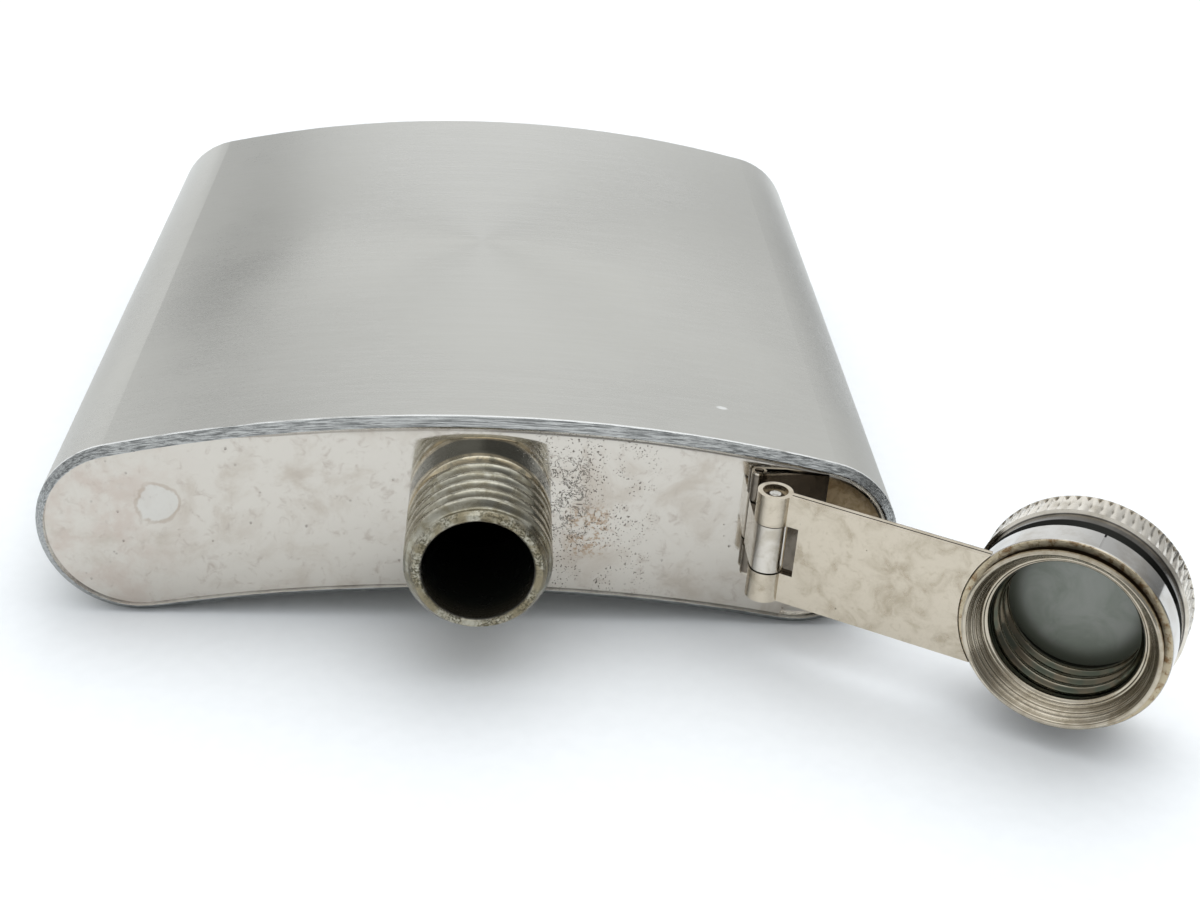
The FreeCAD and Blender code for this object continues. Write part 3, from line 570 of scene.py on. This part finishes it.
def head_metal():
    """The head: bright knurled grip with grime in its cuts, and a smooth band in front of it, painted dark
    as a reflection, with painted black shade at its front.
    """
    bright, dull, grime = (0.74, 0.69, 0.61), (0.52, 0.47, 0.39), (0.17, 0.15, 0.115)
    painted_shade_light, painted_shade_dark, shade = (0.17, 0.16, 0.145), (0.11, 0.10, 0.085), (0.02, 0.02, 0.018)
    g = new_material("head_metal")
    lines, radius, height = turned_lines(g)
    blotch = g.noise(2.6 * MM, 5, 0.6, None, 0.4)
    outside = g.spread(radius, 8.6 * MM, 8.7 * MM)
    colour = g.mix(g.spread(blotch, 0.42, 0.75), bright, dull)
    grip = g.between(height, GRIP_END, -7.65 * MM, 0.05 * MM)
    cut = g.both(grip, g.spread(radius, 10.84 * MM, 10.70 * MM), g.spread(radius, 9 * MM, 10 * MM))
    colour = g.mix(g.scaled(cut, 0.75), colour, grime)
    # Painted reflection: the smooth band is darkened as though it mirrored dark surroundings.
    band = g.both(g.between(height, -7.38 * MM, -5 * MM, 0.05 * MM), outside)
    colour = g.mix(band, colour, g.mix(g.spread(blotch, 0.4, 0.65), painted_shade_light, painted_shade_dark))
    # Painted shade: the band's front edge and bevel go near black.
    shaded = g.both(g.spread(height, -6.15 * MM, -6.0 * MM), outside)
    colour = g.mix(shaded, colour, shade)
    roughness = g.math("ADD", g.spread(lines, 0.3, 0.7, 0.0, 0.06), g.spread(band, 0, 1, 0.16, 0.05))
    roughness = g.math("ADD", roughness, g.spread(blotch, 0.4, 0.7, 0, 0.08))
    return g.surface(colour, roughness, 1.0, g.bump(lines, 0.01 * MM))


def seal_material():
    """Grey-green plastic disc, smudged, darker towards its edge."""
    pale, smudged, edge_colour = (0.40, 0.42, 0.38), (0.29, 0.32, 0.27), (0.12, 0.13, 0.10)
    g = new_material("seal")
    radius = g.around(CAP_LIP, CAP_AXIS)
    smudge = g.noise(4 * MM, 4, 0.6, None, 0.8)
    colour = g.mix(g.spread(smudge, 0.35, 0.7), pale, smudged)
    colour = g.mix(g.spread(radius, 5.2 * MM, 7.2 * MM), colour, edge_colour)
    roughness = g.spread(smudge, 0.3, 0.7, 0.32, 0.5)
    return g.surface(colour, roughness, 0.0, g.bump(g.noise(0.9 * MM, 3), 0.02 * MM))


def pin_steel():
    """Plain steel pins with a little grime."""
    steel, grime_colour = (0.6, 0.58, 0.54), (0.25, 0.21, 0.17)
    g = new_material("pin_steel")
    grime = g.noise(0.5 * MM, 4, 0.6)
    colour = g.mix(g.spread(grime, 0.45, 0.7), steel, grime_colour)
    return g.surface(colour, g.spread(grime, 0.3, 0.7, 0.2, 0.4), 1.0, g.bump(grime, 0.01 * MM))


def floor_white():
    """Matt white with a faint grain."""
    g = new_material("floor_white")
    grain = g.noise(2 * MM, 2)
    colour = g.mix(g.spread(grain, 0.3, 0.7), (0.91, 0.93, 0.95), (0.925, 0.945, 0.965))
    return g.surface(colour, 0.55, 0.0, g.bump(grain, 0.005 * MM), Specular_IOR_Level=0.2)


# ---- meshes ------------------------------------------------------------------------------------


def axes_at(origin, columns):
    """The matrix with these three axes as its columns, at the origin given."""
    matrix = Matrix.Identity(4)
    for column, direction in enumerate(columns):
        for row in range(3):
            matrix[row][column] = direction[row]
    matrix.translation = origin
    return matrix


def turned_frame(point, axis):
    """The place whose local Z is the axis and whose origin is the point."""
    side = HINGE_AXIS if abs(HINGE_AXIS.dot(axis)) < 0.9 else Vector((1, 0, 0))
    across = side.cross(axis).normalized()
    return axes_at(point, (across, axis.cross(across), axis))


def lathe(name, section, sides, place, shape=None):
    """A closed section of (radius, height) points swept round the local Z axis of the place.

    A shape function may move each point: it takes and returns a radius and a height, and takes the angle.
    """
    points = []
    for step in range(sides):
        angle = 2 * math.pi * step / sides
        for radius, height in section:
            if shape:
                radius, height = shape(radius, height, angle)
            points.append(place @ Vector((radius * math.cos(angle), radius * math.sin(angle), height)))
    count = len(section)
    faces = []
    for step in range(sides):
        here = step * count
        there = (step + 1) % sides * count
        for index in range(count):
            following = (index + 1) % count
            faces.append((here + index, there + index, there + following, here + following))
    mesh = bpy.data.meshes.new(name)
    mesh.from_pydata(points, [], faces)
    mesh.validate()
    mesh.update()
    mesh.polygons.foreach_set("use_smooth", [True] * len(mesh.polygons))
    mesh.set_sharp_from_angle(angle=SHARP_EDGE)
    piece = bpy.data.objects.new(name, mesh)
    bpy.context.scene.collection.objects.link(piece)
    return piece


def runs(corners, steps):
    """The corners of a section with each run divided into its number of steps."""
    points = []
    for index, (start, count) in enumerate(zip(corners, steps)):
        end = corners[(index + 1) % len(corners)]
        for step in range(count):
            share = step / count
            points.append((start[0] + (end[0] - start[0]) * share, start[1] + (end[1] - start[1]) * share))
    return points


def held(value):
    """The value kept within 0 and 1."""
    return min(1.0, max(0.0, value))


def groove(phase, crest):
    """How deep a thread's rounded groove is, from 0 at the crest to 1 at the root."""
    flat_root = 0.12
    away = abs(phase - 0.5) * 2
    depth = held(1 - max(0.0, (away - flat_root) / (1 - crest - flat_root)))
    return depth * depth * (3 - 2 * depth)


def fading(height, start, stop, start_run, stop_run):
    """1 well between the start and the stop, falling to 0 at each over its run."""
    return held((height - start) / start_run) * held((stop - height) / stop_run)


def neck_piece():
    """The neck: a helical thread worn down in places, shallow at its sides, under a dented lip."""
    tip_radius = 6.6 * MM
    lead = 1.5 * MM
    base = -0.9 * MM
    end = -1.8 * MM
    lip = 0.2 * MM
    inner_limit = 6.7 * MM
    start, stop, run_out = 1.5 * MM, 12.2 * MM, 0.9 * MM
    side_share = 0.35
    crest_wear, wear_length, wear_density = 0.24 * MM, 2 * MM, 2.3
    dent_start, dent_depth, dent_density = 12 * MM, 0.12 * MM, 6.0

    def thread(radius, height, angle):
        if radius > inner_limit and base < height:
            fade = fading(height, start, stop, run_out, run_out)
            above_or_below = held((abs(math.sin(angle)) - 0.7) / 0.22)
            fade *= side_share + (1 - side_share) * above_or_below
            phase = (height / THREAD_PITCH - angle / (2 * math.pi) + 0.25) % 1
            radius -= THREAD_DEPTH * groove(phase, 0.24) * fade
            wear_place = Vector((math.cos(angle), math.sin(angle), height / wear_length))
            radius -= crest_wear * max(0.0, noise.noise(wear_place * wear_density)) * fade
        if height > dent_start:
            dent_place = Vector((math.cos(angle), math.sin(angle), radius / MM))
            height -= dent_depth * max(0.0, noise.noise(dent_place * dent_density))
        return radius, height

    corners = [(BORE_RADIUS, end), (FLANGE_RADIUS, end), (FLANGE_RADIUS, base), (NECK_RADIUS, base),
               (NECK_RADIUS, NECK_TIP - lead), (tip_radius, NECK_TIP), (BORE_RADIUS + lip, NECK_TIP),
               (BORE_RADIUS, NECK_TIP - lip)]
    section = runs(corners, [4, 1, 2, 100, 16, 5, 2, 16])
    return lathe("neck_threaded", section, TURN_SIDES, turned_frame(NECK_BASE, NECK_AXIS), thread)


def in_metres(corners):
    return [(radius * MM, height * MM) for radius, height in corners]


def sleeve_piece():
    """The sleeve: a flared lip, a cone inside its mouth, a shank for the collar, and a helical thread."""
    corners = in_metres([(9.6, -0.05), (9.75, 0), (9.95, -0.15), (9.95, -0.5), (9.33, -0.5), (9.2, -0.9),
                         (9.0, -1.3), (9.0, -5.5), (8.6, -5.5), (8.6, -9.2), (7.72, -9.2), (7.72, -2.45),
                         (7.86, -2.2), (8.05, -2.12), (8.15, -1.95), (8.3, -1.95)])
    section = runs(corners, [2, 2, 2, 2, 2, 2, 4, 1, 2, 4, 66, 2, 3, 2, 2, 8])
    outer_limit, mouth_limit = 7.8 * MM, -2.5 * MM
    start, stop = -9.0 * MM, -2.7 * MM
    start_run, stop_run = 0.8 * MM, 1.0 * MM

    def thread(radius, height, angle):
        if radius < outer_limit and height < mouth_limit:
            fade = fading(height, start, stop, start_run, stop_run)
            phase = (height / THREAD_PITCH - angle / (2 * math.pi)) % 1
            radius -= THREAD_DEPTH * (1 - groove(phase, 0.12)) * fade
        return radius, height

    return lathe("cap_sleeve_threaded", section, TURN_SIDES, turned_frame(CAP_LIP, CAP_AXIS), thread)


def head_piece():
    """The head: a smooth band, a diamond knurl, a bevelled crown, and the pocket for the seal."""
    corners = in_metres([(8.6, -5.5), (10.1, -5.5), (10.6, -6.0), (10.6, -7.35), (11.0, -7.6), (11.0, -10.9),
                         (10.3, -11.6), (0.02, -11.6), (0.02, -10.4), (7.8, -10.4), (7.8, -9.2),
                         (8.6, -9.2)])
    section = runs(corners, [4, 3, 4, 2, 2, 3 * KNURL_STEPS, 4, 12, 1, 6, 3, 3])
    outer_limit = HEAD_RADIUS - 0.01 * MM
    first_cut, run_in = GRIP_START - 0.1 * MM, 0.3 * MM
    diamond_top = 0.2

    def knurl(radius, height, angle):
        if radius > outer_limit:
            turn = angle / (2 * math.pi) * KNURL_COUNT
            rise = (height - GRIP_START) / KNURL_ROW
            one = abs((turn + rise) % 1 - 0.5) * 2
            two = abs((turn - rise) % 1 - 0.5) * 2
            cut = max(0.0, (max(one, two) - diamond_top) / (1 - diamond_top))
            radius -= KNURL_DEPTH * cut * held((first_cut - height) / run_in)
        return radius, height

    sides = KNURL_COUNT * KNURL_STEPS
    return lathe("cap_head_knurled", section, sides, turned_frame(CAP_LIP, CAP_AXIS), knurl)


# ---- putting it together -----------------------------------------------------------------------


def finish_with(piece, material):
    piece.data.materials.clear()
    piece.data.materials.append(material)
    return piece


def dress():
    """Puts the detailed pieces in for the neck, sleeve and head, and a finish on every node."""
    plate = polished_plate()
    pins = pin_steel()
    dressed = {
        "body_shell": brushed_shell(),
        "top_plate": plate,
        "bottom_plate": plate,
        "hinge_bracket": bracket_nickel(),
        "bracket_pin": pins,
        "hinge_link": link_nickel(),
        "cap_arm": arm_nickel(),
        "arm_pin": pins,
        "arm_collar": collar_nickel(),
        "seal_disc": seal_material(),
    }
    for name, material in dressed.items():
        finish_with(nodes[name], material)
    made = (
        (neck_piece(), "neck", "flask", "neck_metal", neck_metal()),
        (sleeve_piece(), "cap_sleeve", "cap", "cap_metal", sleeve_metal()),
        (head_piece(), "cap_head", "cap", "cap_metal", head_metal()),
    )
    for piece, node, body, slot, material in made:
        finish_with(piece, material)
        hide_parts(node)
        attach(piece, body)


def lay_floor():
    mesh = bpy.data.meshes.new("floor")
    corners = [(across * FLOOR_HALF, deep * FLOOR_HALF, FLOOR)
               for across, deep in ((-1, -1), (1, -1), (1, 1), (-1, 1))]
    mesh.from_pydata(corners, [], [(0, 1, 2, 3)])
    piece = bpy.data.objects.new("floor", mesh)
    bpy.context.scene.collection.objects.link(piece)
    finish_with(piece, floor_white())


def light_room():
    """A pale room: bright behind the flask, dimmer above, at the sides and behind the camera.

    A soft dark strip stands behind the flask to the left, and the ceiling is bright. The slant is how far a
    direction leans to the right for each unit that it goes back.
    """
    behind_camera, behind_flask = 0.8, 1.12
    right_loss, far_right_loss, left_loss, strip_loss = 0.5, 0.45, 0.15, 0.5
    ceiling_gain = 0.6
    strip_lean, strip_height = 0.38, 0.3
    room_white = (0.96, 0.985, 1.0)
    scene = bpy.context.scene
    scene.world = bpy.data.worlds.new("room")
    g = Graph(scene.world, "Generated")
    across, depth, up = g.parts()
    strength = g.spread(depth, -0.9, 0.75, behind_camera, behind_flask)
    slant = g.math("DIVIDE", across, g.math("MAXIMUM", depth, 0.01))
    low = g.spread(up, 0.75, 0.5)
    right = g.both(g.spread(slant, 0.0, 0.9), low)
    far_right = g.both(g.spread(slant, 1.1, 1.8), g.spread(depth, -0.1, 0.1), g.spread(up, 0.5, 0.35))
    left = g.both(g.spread(slant, -0.5, -1.0), low)
    for side, loss in ((right, right_loss), (far_right, far_right_loss), (left, left_loss)):
        strength = g.math("SUBTRACT", strength, g.scaled(side, loss))
    strength = g.math("ADD", strength, g.spread(up, 0.72, 0.95, 0.0, ceiling_gain))
    tilted = g.math("MULTIPLY_ADD", g.math("SUBTRACT", up, strip_height), strip_lean, slant)
    strip = g.both(g.spread(tilted, -0.42, -0.33), g.spread(tilted, -0.205, -0.235),
                   g.between(up, 0.05, 0.85, 0.1))
    strength = g.math("MULTIPLY", strength, g.rest(g.scaled(strip, strip_loss)))
    light = g.add("ShaderNodeBackground")
    g.feed(light.inputs["Color"], room_white)
    g.feed(light.inputs["Strength"], strength)
    white = g.add("ShaderNodeBackground")
    g.feed(white.inputs["Color"], (1, 1, 1))
    choose = g.add("ShaderNodeMixShader")
    g.feed(choose.inputs[0], g.add("ShaderNodeLightPath").outputs["Is Camera Ray"])
    g.feed(choose.inputs[1], light.outputs[0])
    g.feed(choose.inputs[2], white.outputs[0])
    g.feed(g.add("ShaderNodeOutputWorld").inputs[0], choose.outputs[0])


def hang_softbox():
    """A wide soft light above and behind the flask. It isn't seen in reflections."""
    lamp = bpy.data.lights.new("softbox", "AREA")
    lamp.shape = "RECTANGLE"
    lamp.size, lamp.size_y = 1.6, 1.2
    lamp.energy = 5.5
    softbox = bpy.data.objects.new("softbox", lamp)
    bpy.context.scene.collection.objects.link(softbox)
    softbox.location = (0.35, 0.5, 1.15)
    towards = Vector((0, 0.03, 0)) - softbox.location
    softbox.rotation_euler = towards.to_track_quat("-Z", "Y").to_euler()
    softbox.visible_glossy = False


def set_camera():
    """A 54.7 mm lens, looking down at the neck's end from the front."""
    yaw, pitch, roll = 0.0667, 0.4898, 0.0561
    place = Vector((1.185, -169.305, 98.06)) * MM
    level = math.cos(pitch)
    forward = Vector((math.sin(yaw) * level, math.cos(yaw) * level, -math.sin(pitch)))
    right = Vector((math.cos(yaw), -math.sin(yaw), 0))
    up = right.cross(forward)
    turned_right = right * math.cos(roll) + up * math.sin(roll)
    turned_up = up * math.cos(roll) - right * math.sin(roll)
    data = bpy.data.cameras.new("camera")
    data.lens = 54.72
    data.sensor_width = 36
    data.clip_start = 0.01
    data.clip_end = 50
    camera = bpy.data.objects.new("camera", data)
    bpy.context.scene.collection.objects.link(camera)
    camera.matrix_world = axes_at(place, (turned_right, turned_up, -forward))
    bpy.context.scene.camera = camera


dress()
lay_floor()
light_room()
hang_softbox()
set_camera()
bpy.context.scene.view_settings.view_transform = "Standard"

bpy.context.view_layer.update()
